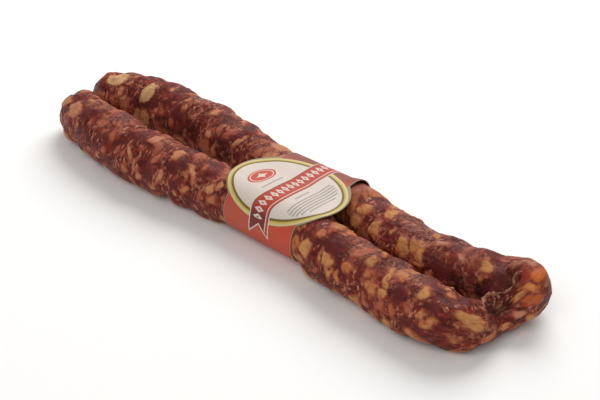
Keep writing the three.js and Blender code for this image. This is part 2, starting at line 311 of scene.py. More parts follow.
def through(points, at):
    """A cubic through points whose slope at each is half its neighbours' difference: at is 0 for the first
    point, 1 for the second and so on."""
    p = np.array(points, float)
    ends = 2 * p[[0, -1]] - p[[1, -2]]
    p = np.vstack([ends[:1], p, ends[1:]])
    i = np.minimum(at.astype(int), len(points) - 2)
    w = (at - i)[..., None]
    slope1, slope2 = (p[i + 2] - p[i]) / 2, (p[i + 3] - p[i + 1]) / 2
    step = p[i + 2] - p[i + 1]
    cube = slope1 + slope2 - 2 * step
    return p[i + 1] + slope1 * w + (3 * step - 2 * slope1 - slope2) * w**2 + cube * w**3


def curve_points(t):
    """The casing's centreline at shares t of its stations. The third number is the radius."""
    stations = FRONT_LEG + FOLD + REAR_LEG
    return through(stations, np.clip(t, 0, 1) * (len(stations) - 1))


CURVE_T = np.linspace(0, 1, CURVE_DIVISIONS + 1)
CURVE_S = np.concatenate([[0], np.cumsum(np.linalg.norm(np.diff(curve_points(CURVE_T), axis=0), axis=1))])
LENGTH = CURVE_S[-1]
STATION_STEPS = len(FRONT_LEG) + len(FOLD) + len(REAR_LEG) - 1
FOLD_MIDDLE = CURVE_S[round((len(FRONT_LEG) + len(FOLD) / 2) / STATION_STEPS * CURVE_DIVISIONS)]


def heading_at(s):
    """The centreline's direction seen from above, from the points a hair before and after."""
    t = np.interp(np.clip(s, 0, LENGTH), CURVE_S, CURVE_T)
    d = curve_points(t + HAIR) - curve_points(t - HAIR)
    return np.arctan2(d[..., 1], d[..., 0])


def turn_at(s):
    """How fast the centreline turns left, in radians a millimetre, over a few millimetres."""
    change = heading_at(s + TURN_SPAN) - heading_at(s - TURN_SPAN)
    return ((change + np.pi) % (2 * np.pi) - np.pi) / (2 * TURN_SPAN)


def casing_surface(s, angle):
    """The casing without its small relief, as in the part's source: out from the centreline by a radius
    that waves, swells at the fold, is pressed under the band, creases inside the turn and closes at the
    ends. It sinks neither into the table nor into the other end."""
    c = curve_points(np.interp(s, CURVE_S, CURVE_T))
    heading = heading_at(s)
    pressed = 1 - smooth(np.abs(c[..., 0] - BAND_X), PRESSED_HALF_LENGTH, PRESSED_HALF_LENGTH + SWELLS_WITHIN)
    front = s < FOLD_MIDDLE
    middle_y = mix(c[..., 1], np.where(front, BAND_FRONT_Y, BAND_REAR_Y), pressed)
    middle_z = mix(c[..., 2] - SETTLED, BAND_RADIUS, pressed)
    free = c[..., 2] + sum(
        height * np.cos(2 * np.pi * s / length + count * angle + k * GOLDEN_ANGLE)
        for k, (length, count, height) in enumerate(WAVES)
    )
    for along, degrees, height, spread_along, spread_round in KINKS:
        d = (s - FOLD_MIDDLE - along) / spread_along
        away = (1 - np.cos(angle - math.radians(degrees))) / math.radians(spread_round) ** 2
        free = free + height * np.exp(-0.5 * d * d - away)
    inwards = np.maximum(np.cos(angle), LEAST_INWARDS)
    reach = INNER_REACH / (np.maximum(turn_at(s), LEAST_TURN) * inwards)
    radius = soft_min(mix(free, PRESSED_RADIUS, pressed), reach, CREASE_SOFTNESS)
    to_end = np.clip(np.minimum(s, LENGTH - s), 0, END_LENGTH)
    radius = radius * np.sqrt(1 - (1 - to_end / END_LENGTH) ** 2)
    out = radius * np.cos(angle)
    x = c[..., 0] - out * np.sin(heading)
    y = middle_y + out * np.cos(heading)
    side = np.where(front, 1, -1)
    flat = ENDS_MEET_Y + side * soft_min(side * (y - ENDS_MEET_Y), -HALF_GAP, FLAT_RIM)
    y = np.where(c[..., 0] < ENDS_MEET_BEFORE_X, flat, y)
    past_band = np.abs(x - BAND_X) - BAND_HALF_WIDTH
    floor = BAND_FLOOR * (1 - smooth(past_band, FLOOR_KEPT, FLOOR_ENDS))
    return np.stack([x, y, np.maximum(middle_z + radius * np.sin(angle), floor)], -1)


def unrolled(s, angle):
    """A point's place on the casing as if it lay straight, which every pattern on it reads."""
    return np.stack([s, ROUND_RADIUS * np.cos(angle), ROUND_RADIUS * np.sin(angle)], -1)


def normals_of(p):
    """Outward unit normals of a closed-round grid: the step round it crossed with the step along it."""
    along = np.gradient(p, axis=0)
    round_it = np.roll(p, -1, 1) - np.roll(p, 1, 1)
    n = np.cross(round_it, along)
    return n / (np.linalg.norm(n, axis=-1, keepdims=True) + 1e-9)


def scattered_lumps(rng):
    """Lumps of chopped fat: distance along, length round, half length, half width, turn and tint. First the
    placed ones, then coarse lumps and crumbs on a shaken grid, away from the placed ones and from the
    patches of plain lean, and fewer on the shown sides."""
    girth = 2 * math.pi * ROUND_RADIUS
    placed = np.array(PLACED_LUMPS, float)
    placed[:, 1] = np.radians(placed[:, 1]) * ROUND_RADIUS
    rows = [placed]
    for spacing, size, spread, share, left in LUMP_LAYERS:
        n_along, n_round = int(LENGTH / spacing), int(girth / spacing)
        i, j = np.meshgrid(np.arange(n_along), np.arange(n_round), indexing="ij")
        i, j = i.ravel(), j.ravel()
        keep = rng.random(i.size) < share
        s = (i + 0.5 * (j % 2) + rng.uniform(*LUMP_STRAYS, i.size)) * spacing
        g = (j + rng.uniform(*LUMP_STRAYS, i.size)) * girth / n_round
        half = size * np.exp(rng.normal(0, spread, i.size))
        wider = rng.uniform(*LUMP_WIDER, i.size)
        turned = rng.normal(0, LUMP_TURNS, i.size)
        tan = rng.random(i.size) < TAN_SHARE
        tint = np.where(tan, rng.uniform(0, TAN_BELOW, i.size), rng.uniform(TAN_BELOW, 1, i.size))
        tint = np.where((np.abs(s - FOLD_MIDDLE) > PINKER_FROM_FOLD) & (tint > TAN_UP_TO), PINKISH, tint)
        away = np.abs((g[:, None] - placed[:, 1] + girth / 2) % girth - girth / 2)
        room = CLEAR_OF_PLACED * (placed[:, 2:4].mean(1) + half[:, None])
        keep &= (np.hypot(s[:, None] - placed[:, 0], away) - room).min(1) > 0
        degrees = np.degrees(g / ROUND_RADIUS)
        plain = np.array(PLAIN_PATCHES)
        round_it = np.radians((degrees[:, None] - plain[:, 1] + 180) % 360 - 180) * ROUND_RADIUS
        from_plain = np.hypot((s[:, None] - plain[:, 0]) / plain[:, 2], round_it / plain[:, 3])
        keep &= from_plain.min(1) > CLEAR_OF_PLAIN
        shown = np.any([
            (s > a) & (s < b) & ((degrees - c) % 360 < d - c) for a, b, c, d in SHOWN_SIDES
        ], axis=0)
        keep &= ~shown | (rng.random(i.size) < left)
        rows.append(np.stack([s, g, half, half * wider, turned, tint], -1)[keep])
    return np.vstack(rows)


def strand_surface(points, radius):
    """A strand along the cubic through its points, which noise bends and makes uneven: its rings, its two
    ends last, and the number of rings."""
    count = STRAND_STEPS * (len(points) - 1) + 1
    line = through(points, np.linspace(0, len(points) - 1, count))
    wander = np.stack([noise(line, 2.1, seed) for seed in (61, 62, 63)], -1)
    line = line + STRAND_WANDER * wander - [0, 0, STRAND_DROP]
    along = np.gradient(line, axis=0)
    across = np.cross(along, [0.3, 0.1, 1])
    across /= np.linalg.norm(across, axis=1, keepdims=True)
    upright = np.cross(across, along)
    upright /= np.linalg.norm(upright, axis=1, keepdims=True)
    taper = np.sqrt(1 - np.linspace(-0.97, 0.97, count) ** 8)
    turn = 2 * np.pi * np.arange(STRAND_SIDES) / STRAND_SIDES
    round_it = across[:, None] * np.cos(turn)[:, None] + upright[:, None] * np.sin(turn)[:, None]
    wide = radius * taper * (1 + STRAND_UNEVEN * noise(line, 1.6, 64))
    rings = line[:, None] + round_it * wide[:, None, None]
    rings = rings + 0.45 * radius * noise(rings, 0.9, 65)[..., None] * round_it
    return np.vstack([rings.reshape(-1, 3), line[[0, -1]]]), count


def edge_shift(straight, seed, noises):
    """A sum of noises of given heights and sizes, in millimetres, each with the next seed."""
    return sum(height * noise(straight, size, seed + k) for k, (height, size) in enumerate(noises))


def fat_field(s, angle, lumps):
    """How far inside a lump of fat each point of the skin is, in millimetres, and its lump's tint. A lump
    is a rounded box. The point is first shifted by two noises, less the coarse one at the lump's middle, so
    that the edge is ragged and the lump stays in its place. Where two lumps meet a seam of lean is left."""
    straight = unrolled(s, angle)
    shift_s, shift_g = edge_shift(straight, 11, EDGE_NOISES), edge_shift(straight, 13, EDGE_NOISES)
    middles = unrolled(lumps[:, 0], lumps[:, 1] / ROUND_RADIUS)
    own_s, own_g = edge_shift(middles, 11, EDGE_NOISES[:1]), edge_shift(middles, 13, EDGE_NOISES[:1])
    girth = 2 * math.pi * ROUND_RADIUS
    best = np.full(s.shape, OUTSIDE)
    second = np.full(s.shape, OUTSIDE)
    tint = np.zeros(s.shape)
    row_s = s[:, 0]
    for (at_s, at_g, half_length, half_width, turned, shade), away_s, away_g in zip(lumps, own_s, own_g):
        reach = 1.6 * max(half_length, half_width) + 3
        lo, hi = np.searchsorted(row_s, [at_s - reach, at_s + reach])
        if lo == hi:
            continue
        rows = slice(lo, hi)
        ds = s[rows] - at_s + shift_s[rows] - away_s
        dg = (ROUND_RADIUS * angle[rows] - at_g + girth / 2) % girth - girth / 2 + shift_g[rows] - away_g
        u = (ds * math.cos(turned) + dg * math.sin(turned)) / half_length
        v = (dg * math.cos(turned) - ds * math.sin(turned)) / half_width
        from_middle = (np.abs(u) ** BOX_POWER + np.abs(v) ** BOX_POWER) ** (1 / BOX_POWER)
        depth = (1 - from_middle) * min(half_length, half_width)
        first = depth > best[rows]
        second[rows] = np.maximum(second[rows], np.minimum(depth, best[rows]))
        tint[rows] = np.where(first, shade, tint[rows])
        best[rows] = np.where(first, depth, best[rows])
    return np.minimum(best, best - second - SEAM), tint


def bells(s, angle, places):
    """For each place on the skin (distance along, angle round, half length, half height round) a bell
    from 0 to 1 with a flat top, its rim shaken by noise."""
    shake = 0.35 * noise(unrolled(s, angle), 3.2, 41)
    for at_s, degrees, half_length, half_round in places:
        away = np.abs((angle - math.radians(degrees) + np.pi) % (2 * np.pi) - np.pi) * ROUND_RADIUS
        yield 1 - smooth(np.hypot((s - at_s) / half_length, away / half_round) + shake, 0.4, 1.35)


def pocket_dents_and_painted_shade(s, angle):
    """How much painted shade each point gets, from 0 to 1, and how deep it is dented, in millimetres."""
    dark, dent = np.zeros(s.shape), np.zeros(s.shape)
    for bell, (*_, depth, strength) in zip(bells(s, angle, [row[:4] for row in POCKET_DENTS_AND_PAINTED_SHADE]), POCKET_DENTS_AND_PAINTED_SHADE):
        dark = np.maximum(dark, strength * bell)
        dent = np.maximum(dent, bell * depth)
    return dark, dent


def skin_grid():
    """Distances along and angles round of the skin's rings and sides, from its lowest line round."""
    near_end = END_LENGTH * (1 - np.cos(np.linspace(0, np.pi / 2, END_RINGS + 1)[1:]))
    body = np.linspace(END_LENGTH, LENGTH - END_LENGTH, SKIN_RINGS - 2 * END_RINGS + 2)[1:-1]
    along = np.concatenate([near_end, body, LENGTH - near_end[::-1]])
    angles = 2 * np.pi * np.arange(SKIN_SIDES) / SKIN_SIDES - np.pi / 2
    return np.meshgrid(along, angles, indexing="ij")


def skin_fields(s, angle):
    """What the relief and the material read at each point of the skin."""
    fat, tint = fat_field(s, angle, scattered_lumps(np.random.default_rng(SEED)))
    # Painted shade in the pockets, and their real dents.
    painted_pocket_shade, dent = pocket_dents_and_painted_shade(s, angle)
    plain = np.max(list(bells(s, angle, PLAIN_PATCHES)), axis=0)
    return {"fat": fat, "tint": tint, "painted_pocket_shade": PAINTED_SHADE_STRENGTH * painted_pocket_shade, "dent": dent, "plain": plain}


def skin_surface(s, angle, fields, settings):
    """The casing with its small relief, which is the lumps of fat, small lumps of filling and lengthwise
    wrinkles, less the pockets' dents. It fades out under the band and at the tips, and the whole stays in
    the CAD's box."""
    straight = unrolled(s, angle)
    lumpy = 0.6 * noise(straight, (6.5, 9, 9), 1) + 0.4 * noise(straight, 3.6, 2)
    wrinkles = noise(straight, (14, 1.5, 1.5), 3) * smooth(noise(straight, 26, 4), -0.3, 0.5)
    relief = (
        settings.fat_bulge / MM * (smooth(fields["fat"], *FAT_RISES) - LEAN_BELOW)
        + settings.unevenness / MM * lumpy
        + settings.wrinkle_depth / MM * wrinkles - fields["dent"]
    )
    bare = casing_surface(s, angle)
    covered = mix(BAND_HALF_WIDTH, OVAL_HALF_LENGTH, smooth(bare[..., 2], *OVAL_COVERS))
    relief *= smooth(np.abs(bare[..., 0] - BAND_X) - covered, *RELIEF_PAST_BAND)
    relief *= smooth(np.minimum(s, LENGTH - s), 0, RELIEF_PAST_TIP)
    skin = bare + normals_of(bare) * relief[..., None]
    skin[..., 2] = np.maximum(skin[..., 2], np.minimum(bare[..., 2], BAND_FLOOR))
    return np.clip(skin, np.array(CAD_BOX[0]) / MM, np.array(CAD_BOX[1]) / MM)


def tube_faces(count, sides):
    """Faces of a closed tube of rings, its last side joined to its first, each end closed by a fan to a
    tip. The tips are the two points after the rings."""
    j = np.arange(sides)
    k = (j + 1) % sides
    start = (np.arange(count - 1) * sides)[:, None]
    quads = np.stack([start + j, start + k, start + sides + k, start + sides + j], -1).reshape(-1, 4)
    first, last = count * sides, (count - 1) * sides
    fans = np.vstack([
        np.stack([np.full(sides, first), k, j], -1),
        np.stack([np.full(sides, first + 1), last + j, last + k], -1),
    ])
    return quads, fans


def shoulder_surface():
    """The rear leg's shoulder, squeezed out over the inside of the fold: an ellipsoid in rings from its
    lowest point to its highest, those two points last, pushed out and in by noise."""
    rise = np.linspace(-np.pi / 2, np.pi / 2, SHOULDER_RINGS + 2)
    turns = 2 * np.pi * np.arange(SHOULDER_SIDES) / SHOULDER_SIDES
    level, round_it = np.meshgrid(rise[1:-1], turns, indexing="ij")
    unit = np.stack([np.cos(level) * np.cos(round_it), np.cos(level) * np.sin(round_it), np.sin(level)], -1)
    unit = np.vstack([unit.reshape(-1, 3), [[0, 0, -1], [0, 0, 1]]])
    p = unit * SHOULDER_HALF
    p *= 1 + 0.03 * noise(p, 5, 51)[:, None]
    turn = math.radians(SHOULDER_TURN)
    x = p[:, 0] * math.cos(turn) - p[:, 1] * math.sin(turn)
    y = p[:, 0] * math.sin(turn) + p[:, 1] * math.cos(turn)
    return np.stack([x, y, p[:, 2]], -1) + SHOULDER_CENTRE


def mesh_from(name, points, quads, triangles=None):
    """A mesh of quads and triangles from whole arrays."""
    triangles = np.zeros((0, 3), int) if triangles is None else triangles
    mesh = bpy.data.meshes.new(name)
    mesh.vertices.add(len(points))
    mesh.vertices.foreach_set("co", np.ascontiguousarray(points, np.float32).ravel())
    corners = np.concatenate([quads.ravel(), triangles.ravel()]).astype(np.int32)
    starts = np.concatenate([np.arange(len(quads)) * 4, 4 * len(quads) + np.arange(len(triangles)) * 3])
    mesh.loops.add(len(corners))
    mesh.loops.foreach_set("vertex_index", corners)
    mesh.polygons.add(len(starts))
    mesh.polygons.foreach_set("loop_start", starts.astype(np.int32))
    mesh.update(calc_edges=True)
    mesh.validate()
    mesh.shade_smooth()
    return mesh


def point_attribute(mesh, name, kind, values):
    """Stores an array on the mesh's points: kind is FLOAT or FLOAT_VECTOR."""
    attribute = mesh.attributes.new(name, kind, "POINT")
    attribute.data.foreach_set("vector" if kind == "FLOAT_VECTOR" else "value", np.float32(values).ravel())


def place(name, mesh, material, node):
    """Puts a finished mesh into the scene in place of a CAD node."""
    mesh.materials.append(material)
    piece = bpy.data.objects.new(name, mesh)
    bpy.context.scene.collection.objects.link(piece)
    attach(piece, BODY)
    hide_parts(node)
    return piece


class Shader:
    """A material's node tree, written as formulas of sockets and numbers."""

    def __init__(self, name):
        self.material = bpy.data.materials.new(name)
        self.material.use_nodes = True
        self.tree = self.material.node_tree
        self.tree.nodes.clear()
        self.output = self.node("ShaderNodeOutputMaterial")
        self.surface = self.node("ShaderNodeBsdfPrincipled")
        self.tree.links.new(self.surface.outputs[0], self.output.inputs["Surface"])

    def node(self, kind, settings=None, **inputs):
        """A node with its settings and its inputs, named or as i0, i1 and so on. An input is a number, a
        colour or another node's socket."""
        made = self.tree.nodes.new(kind)
        for key, value in (settings or {}).items():
            setattr(made, key, value)
        for key, value in inputs.items():
            self.feed(made.inputs[int(key[1:]) if key[1:].isdigit() else key], value)
        return made

    def feed(self, socket, value):
        """Links another node's socket to a socket, or sets its value."""
        if isinstance(value, bpy.types.NodeSocket):
            self.tree.links.new(value, socket)
        else:
            socket.default_value = value

    def math(self, operation, a, b=0.0, clamp=False):
        settings = {"operation": operation, "use_clamp": clamp}
        return self.node("ShaderNodeMath", settings, i0=a, i1=b).outputs[0]

    def plus(self, a, b):
        return self.math("ADD", a, b)

    def minus(self, a, b):
        return self.math("SUBTRACT", a, b)

    def times(self, a, b):
        return self.math("MULTIPLY", a, b)

    def size(self, a):
        """A number without its sign."""
        return self.math("ABSOLUTE", a)

    def offset(self, x, middle, half):
        """How far x is past a middle, as a share of a half size."""
        return self.math("DIVIDE", self.minus(x, middle), half)

    def attribute(self, name, output="Fac"):
        """A field stored on the mesh's points."""
        return self.node("ShaderNodeAttribute", {"attribute_name": name}).outputs[output]

    def ramp(self, x, low, high, to_low=0.0, to_high=1.0):
        """Smoothly from to_low where x is low to to_high where it is high."""
        made = self.node("ShaderNodeMapRange", {"interpolation_type": "SMOOTHSTEP"})
        for index, value in enumerate((x, low, high, to_low, to_high)):
            self.feed(made.inputs[index], value)
        return made.outputs[0]

    def below(self, x, limit, soft=0.12):
        """1 where x is below a limit, with a soft edge."""
        return self.ramp(x, limit - soft, limit + soft, 1.0, 0.0)

    def colour_mix(self, t, a, b):
        """Colour a where t is 0, colour b where t is 1."""
        made = self.node("ShaderNodeMix", {"data_type": "RGBA", "clamp_factor": True})
        for index, value in ((0, t), (6, a), (7, b)):
            self.feed(made.inputs[index], value)
        return made.outputs[2]

    def coat(self, under, over, x, low, high, share=1.0):
        """Colour under where x is low, a share of colour over it where x is high."""
        return self.colour_mix(self.ramp(x, low, high, 0.0, share), under, over)

    def paint(self, under, over, x, limit, soft=0.12):
        """Colour over where x is below a limit, colour under elsewhere."""
        return self.colour_mix(self.below(x, limit, soft), under, over)

    def bump(self, height, strength):
        """Lets a height in millimetres turn the surface's normal."""
        bump = self.node("ShaderNodeBump", Strength=strength, Distance=MM, Height=height)
        self.feed(self.surface.inputs["Normal"], bump.outputs[0])

    def noise(self, vector, scale, detail=2.0, roughness=0.5, stretch=(1, 1, 1)):
        """Noise from 0 to 1 in a space stretched along its axes."""
        moved = self.node("ShaderNodeMapping", Vector=vector, Scale=stretch)
        lumps = {"Scale": scale, "Detail": detail, "Roughness": roughness}
        return self.node("ShaderNodeTexNoise", Vector=moved.outputs[0], **lumps).outputs[0]


def linear(colour):
    """A screen colour of 0 to 255 as the linear colour that a shader takes."""
    c = np.array(colour, float) / 255
    return (*np.where(c <= 0.04045, c / 12.92, ((c + 0.055) / 1.055) ** 2.4), 1.0)


# The colour that a lump's tint stands for: fully there at the second tint, not yet at the first.
# The first colour is orange fat painted brighter as light, at the knob of the fold.
TINTS = [
    (-0.2, -0.4, "fat_with_painted_light"), (-0.7, -0.9, "dull_fat"), (-1.2, -1.4, "cream_fat"), (0.6, 0.85, "pink"),
    (1.1, 1.4, "spiced_fat"), (1.6, 1.9, "red_lean"),
]
# Fat grows duller from the first to the second distance from the fold, by this share.
DULLER_FROM = 110
DULLEST_FROM = 220
DULLEST = 0.55
# The crest, which has a painted greyish sheen, begins and is full at these heights on the straightened
# casing.
CREST_BEGINS = 10.5
CREST_FULL = 14.5


def lean_colour(m, settings, straight, grain, veil, plain):
    """Lean meat, dark and red in blotches, with pale fine fat and specks wherever it isn't plain or calm."""
    blotch = m.noise(straight, 0.17, 4.0, 0.6)
    lean = m.coat(settings.dark_lean, settings.lean, blotch, 0.38, 0.62)
    lean = m.coat(lean, settings.red_lean, veil, 0.5, 0.7, 0.7)
    lean = m.colour_mix(m.times(plain, 0.8), lean, settings.plain_lean)
    busy = m.ramp(m.noise(straight, 0.1, 2.0, 0.5), 0.42, 0.58, 0.15, 1.0)
    busy = m.times(busy, m.minus(1.0, plain))
    lean = m.colour_mix(m.times(busy, m.ramp(grain, 0.46, 0.72, 0.0, 0.75)), lean, settings.pale_lean)
    speck = m.colour_mix(0.5, settings.pink_fat, settings.dull_fat)
    bits = m.noise(straight, 0.4, 4.0, 0.55, (1.5, 0.8, 0.8))
    return m.colour_mix(m.times(busy, m.ramp(bits, 0.52, 0.64, 0.0, 0.95)), lean, speck)


def fat_colour(m, settings, straight, grain, veil, fine):
    """Fat from tan to warm with red streaks of spice, duller far from the fold, or the colour that its
    lump's tint stands for, under a thin uneven veil of its rim's colour."""
    tint = m.attribute("tint")
    streaks = m.noise(straight, 0.34, 3.0, 0.6, (0.8, 1.2, 1.2))
    warmth = m.plus(tint, m.times(m.minus(streaks, 0.5), 1.4))
    shade = m.coat(settings.fat, settings.warm_fat, warmth, 0.1, 0.65)
    shade = m.coat(shade, settings.stain, streaks, 0.56, 0.7, 0.75)
    along = m.node("ShaderNodeSeparateXYZ", Vector=straight).outputs[0]
    duller = m.ramp(m.size(m.minus(along, FOLD_MIDDLE)), DULLER_FROM, DULLEST_FROM, 0.0, DULLEST)
    shade = m.colour_mix(duller, shade, settings.dull_fat)
    pink = m.coat(settings.pink_fat, settings.pale_lean, grain, 0.42, 0.6, 0.8)
    for begins, full, name in TINTS:
        own = pink if name == "pink" else getattr(settings, name)
        shade = m.coat(shade, own, tint, begins, full)
    shade = m.coat(shade, settings.fat_rim, veil, 0.5, 0.66, 0.45)
    return m.coat(shade, settings.fat_rim, fine, 0.4, 0.75, 0.35)


def bloom_and_sheen_share(m, straight, ridge):
    """How greyish the casing is, from 0 to 1: a bloom in patches on its wrinkles, and a painted sheen in
    patches on its crest.
    """
    patches = m.ramp(m.noise(straight, 0.07, 2.0, 0.5), 0.42, 0.66, 0.03, 0.5)
    wrinkled = m.times(m.ramp(ridge, 0.5, 0.72), patches)
    # Painted sheen on the top of the casing, in patches.
    height = m.node("ShaderNodeSeparateXYZ", Vector=straight).outputs[2]
    patches = m.ramp(m.noise(straight, 0.045, 2.0, 0.5), 0.42, 0.62, 0.0, 0.5)
    crest = m.times(m.ramp(height, CREST_BEGINS, CREST_FULL), patches)
    # Breaks the painted sheen on the crest into patches.
    dry = m.ramp(m.noise(straight, 0.75, 3.0, 0.6), 0.42, 0.62)
    return m.math("MAXIMUM", wrinkled, m.times(crest, dry))


def casing_material(settings):
    """Marbled filling seen through a satin casing: lean, lumps of fat with ragged edges and warmer rims, a
    greyish bloom on the wrinkles with a painted sheen on the crest, pale strands and painted shade in the
    pockets."""
    m = Shader("marbled_casing")
    straight = m.attribute("straight", "Vector")
    plain = m.attribute("plain")
    veil = m.noise(straight, 0.33, 3.0, 0.6)
    grain = m.noise(straight, 0.5, 3.0, 0.55)
    fine = m.noise(straight, 2.1, 2.0, 0.6)
    lean = lean_colour(m, settings, straight, grain, veil, plain)
    ragged = m.plus(m.times(m.minus(grain, 0.5), 2.2), m.times(m.minus(fine, 0.5), 0.6))
    edge = m.plus(m.attribute("fat"), ragged)
    width = m.ramp(veil, 0.35, 0.65, 0.4, 1.5)
    inside = m.ramp(edge, m.times(width, -1.0), width)
    rim = m.ramp(edge, -0.2, 1.3, 0.8, 0.0)
    fat = m.colour_mix(rim, fat_colour(m, settings, straight, grain, veil, fine), settings.fat_rim)
    colour = m.colour_mix(inside, lean, fat)
    ridge = m.noise(straight, 1.0, 3.0, 0.6, (0.16, 1.1, 1.1))
    # A greyish bloom on the wrinkles, and a painted sheen on the crest.
    bloom_and_sheen = m.times(bloom_and_sheen_share(m, straight, ridge), m.minus(1.0, plain))
    colour = m.colour_mix(bloom_and_sheen, colour, settings.bloom_and_sheen)
    pale = m.ramp(m.noise(straight, 0.9, 2.0, 0.6), 0.35, 0.6, 0.25, 0.95)
    colour = m.colour_mix(m.times(m.attribute("strand"), pale), colour, settings.strand)
    # Painted shade in the pockets and creases of the casing, and a little over the shoulder and the strands.
    colour = m.colour_mix(m.attribute("painted_pocket_shade"), colour, settings.painted_pocket_shade)
    m.feed(m.surface.inputs["Base Color"], colour)
    m.feed(m.surface.inputs["Roughness"], m.ramp(grain, 0.3, 0.7, 0.4, 0.6))
    m.surface.inputs["Specular IOR Level"].default_value = 0.12
    height = m.plus(m.times(ridge, 0.6), m.times(fine, 0.2))
    height = m.plus(height, m.times(grain, 0.9))
    height = m.plus(height, m.times(inside, 0.1))
    m.bump(height, 0.55)
    return m.material


def length_property(name, description, usual, most):
    """A length that a user can change, from its usual and its greatest millimetres."""
    return bpy.props.FloatProperty(
        name=name, description=description, default=usual * MM, min=0, max=most * MM, unit="LENGTH",
        subtype="DISTANCE",
    )


def colour_property(name, description, colour):
    """A colour that a user can change."""
    return bpy.props.FloatVectorProperty(
        name=name, description=description, default=linear(colour), size=4, subtype="COLOR", min=0, max=1
    )


class SausageSettings(bpy.types.PropertyGroup):
    """Sizes and colours of the filled casing."""

    fat_bulge: length_property("Fat bulge", "How far a lump of fat stands out of the lean", 0.55, 2)
    unevenness: length_property("Unevenness", "Height of the filling's small lumps", 0.85, 2)
    wrinkle_depth: length_property("Wrinkle depth", "Depth of the casing's wrinkles along its length", 0.3, 1)
    lean: colour_property("Lean", "Cured lean meat", (98, 29, 24))
    dark_lean: colour_property("Dark lean", "Darkest lean meat", (72, 21, 19))
    plain_lean: colour_property("Plain lean", "Lean meat without any fat", (88, 32, 29))
    red_lean: colour_property("Red lean", "Lean meat stained by the spice", (136, 37, 25))
    pale_lean: colour_property("Pale lean", "Lean meat mixed with fine fat", (148, 72, 51))
    fat: colour_property("Fat", "Lumps of fat", (193, 137, 83))
    warm_fat: colour_property("Warm fat", "Fat stained by the spice", (182, 104, 62))
    spiced_fat: colour_property("Spiced fat", "Brightest fat at the fold", (192, 96, 40))
    # Orange fat painted brighter as light, for the knob at the fold.
    fat_with_painted_light: colour_property("Bright fat", "Clearest fat, at the fold", (206, 127, 69))
    cream_fat: colour_property("Cream fat", "Palest fat, near the free ends", (206, 164, 116))
    dull_fat: colour_property("Fat far from the fold", "Duller, pinker fat", (190, 130, 102))
    stain: colour_property("Stain", "Red streaks of spice in the fat", (158, 58, 34))
    pink_fat: colour_property("Pink fat", "Fat mixed with lean", (170, 98, 71))
    fat_rim: colour_property("Rim of the fat", "Fat seen through a thin edge of lean", (142, 62, 42))
    strand: colour_property("Strands", "Pale strands of bunched casing", (188, 130, 106))
    # Painted shade for the pockets and creases of the casing.
    painted_pocket_shade: colour_property("Pockets", "Shaded pockets of the casing", (38, 12, 9))
    # The greyish bloom of the wrinkles, and the painted sheen on the crest.
    bloom_and_sheen: colour_property("Bloom", "Greyish bloom on the casing's wrinkles", (156, 104, 82))


class SAUSAGE_OT_fill_casing(bpy.types.Operator):
    """Make the filled casing, marbled with fat, in place of its CAD node"""

    bl_idname = "sausage.fill_casing"
    bl_label = "Fill the casing"

    def execute(self, context):
        settings = context.scene.sausage
        s, angle = skin_grid()
        fields = skin_fields(s, angle)
        skin = skin_surface(s, angle, fields, settings)
        tips = casing_surface(np.array([0, LENGTH]), np.zeros(2))
        tip_places = [[0, 0, 0], [LENGTH, 0, 0]]
        shoulder = shoulder_surface()
        strands = [strand_surface(*row) for row in STRANDS]
        strand_points = [points for points, _ in strands]
        shapes = [s.shape, (SHOULDER_RINGS, SHOULDER_SIDES)] + [(count, STRAND_SIDES) for _, count in strands]
        before = np.cumsum([0] + [count * sides + 2 for count, sides in shapes])
        quads, fans = (
            np.vstack([tube_faces(*shape)[kind] + first for shape, first in zip(shapes, before)])
            for kind in (0, 1)
        )
        points = np.vstack([skin.reshape(-1, 3), tips, shoulder, *strand_points])
        mesh = mesh_from("casing", points * MM, quads, fans)
        straight = [unrolled(s, angle).reshape(-1, 3), tip_places, shoulder - SHOULDER_CENTRE, *strand_points]
        point_attribute(mesh, "straight", "FLOAT_VECTOR", np.vstack(straight))
        point_attribute(mesh, "strand", "FLOAT", np.arange(len(points)) >= before[2])
        for name, elsewhere in ELSEWHERE.items():
            rest = np.full(len(points) - s.size, elsewhere)
            point_attribute(mesh, name, "FLOAT", np.append(fields[name].ravel(), rest))
        place("filled_casing", mesh, casing_material(settings), "sausage")
        return {"FINISHED"}


# Where along the paper its edge towards the fold lifts off the rear leg, how far the lift spreads, and how
# far the sag between the legs does.
LIFT_S = 24
LIFT_SPREAD = 10
SAG_SPREAD = 7
# Steps round the paper and columns across it.
PAPER_STEPS = 330
PAPER_COLUMNS = 56
# The print on the band, in millimetres: x along the sausage from the band's middle, s along the paper from
# the middle of the top towards the rear. The paper's UV map holds both, over this span.
UV_SPAN = 170
OVAL_PRINT_S = -8.6
RING_OUTER = (35.6, 27.5)
RING_INNER = (32.2, 23.6)
# Where the panels turn brighter towards the fold and darker towards the rear, that darkening a painted shade
# where they turn away, and where the cut margin begins.
PANEL_BRIGHTENS = (-24, 24)
PANEL_DARKENS = (10, 20)
MARGIN_FROM = 24
# The fine rules: x, and from and to in s.
RULES = [
    (-9.2, -18, -2), (11.6, -15, -4), (15.2, -25, 8.5), (17.2, -26, 9), (19.2, -26, 8), (21.2, -25, 7),
    (23.2, -23, 5), (25.4, -19, 1),
]
RULE_HALF_WIDTH = 0.5
RULE_SOFTNESS = 0.3
RULE_STRENGTH = 0.7
MEDALLION_X = -18.6
MEDALLION_HALF = (5.6, 9.4)
STAR_HALF = (3.4, 5.6)
RIBBON_X = 1.6
RIBBON_HALF_WIDTH = 7.1
# The ribbon bends towards the free ends round this s, over this spread and by so much. Between the next two
# it is painted darker as shade, where it turns down over the leg.
BEND_S = -27.5
BEND_SPREAD = 6
BEND = 1.9
TURNED_DOWN = (-27, -33)
# How far from the oval's middle the tails are notched and how much longer they grow across, and where the
# bright strip begins.
TAIL_NOTCH = 29.2
REAR_TAIL_NOTCH = 50
TAIL_SLANT = 0.95
STRIP_FROM = 4.85
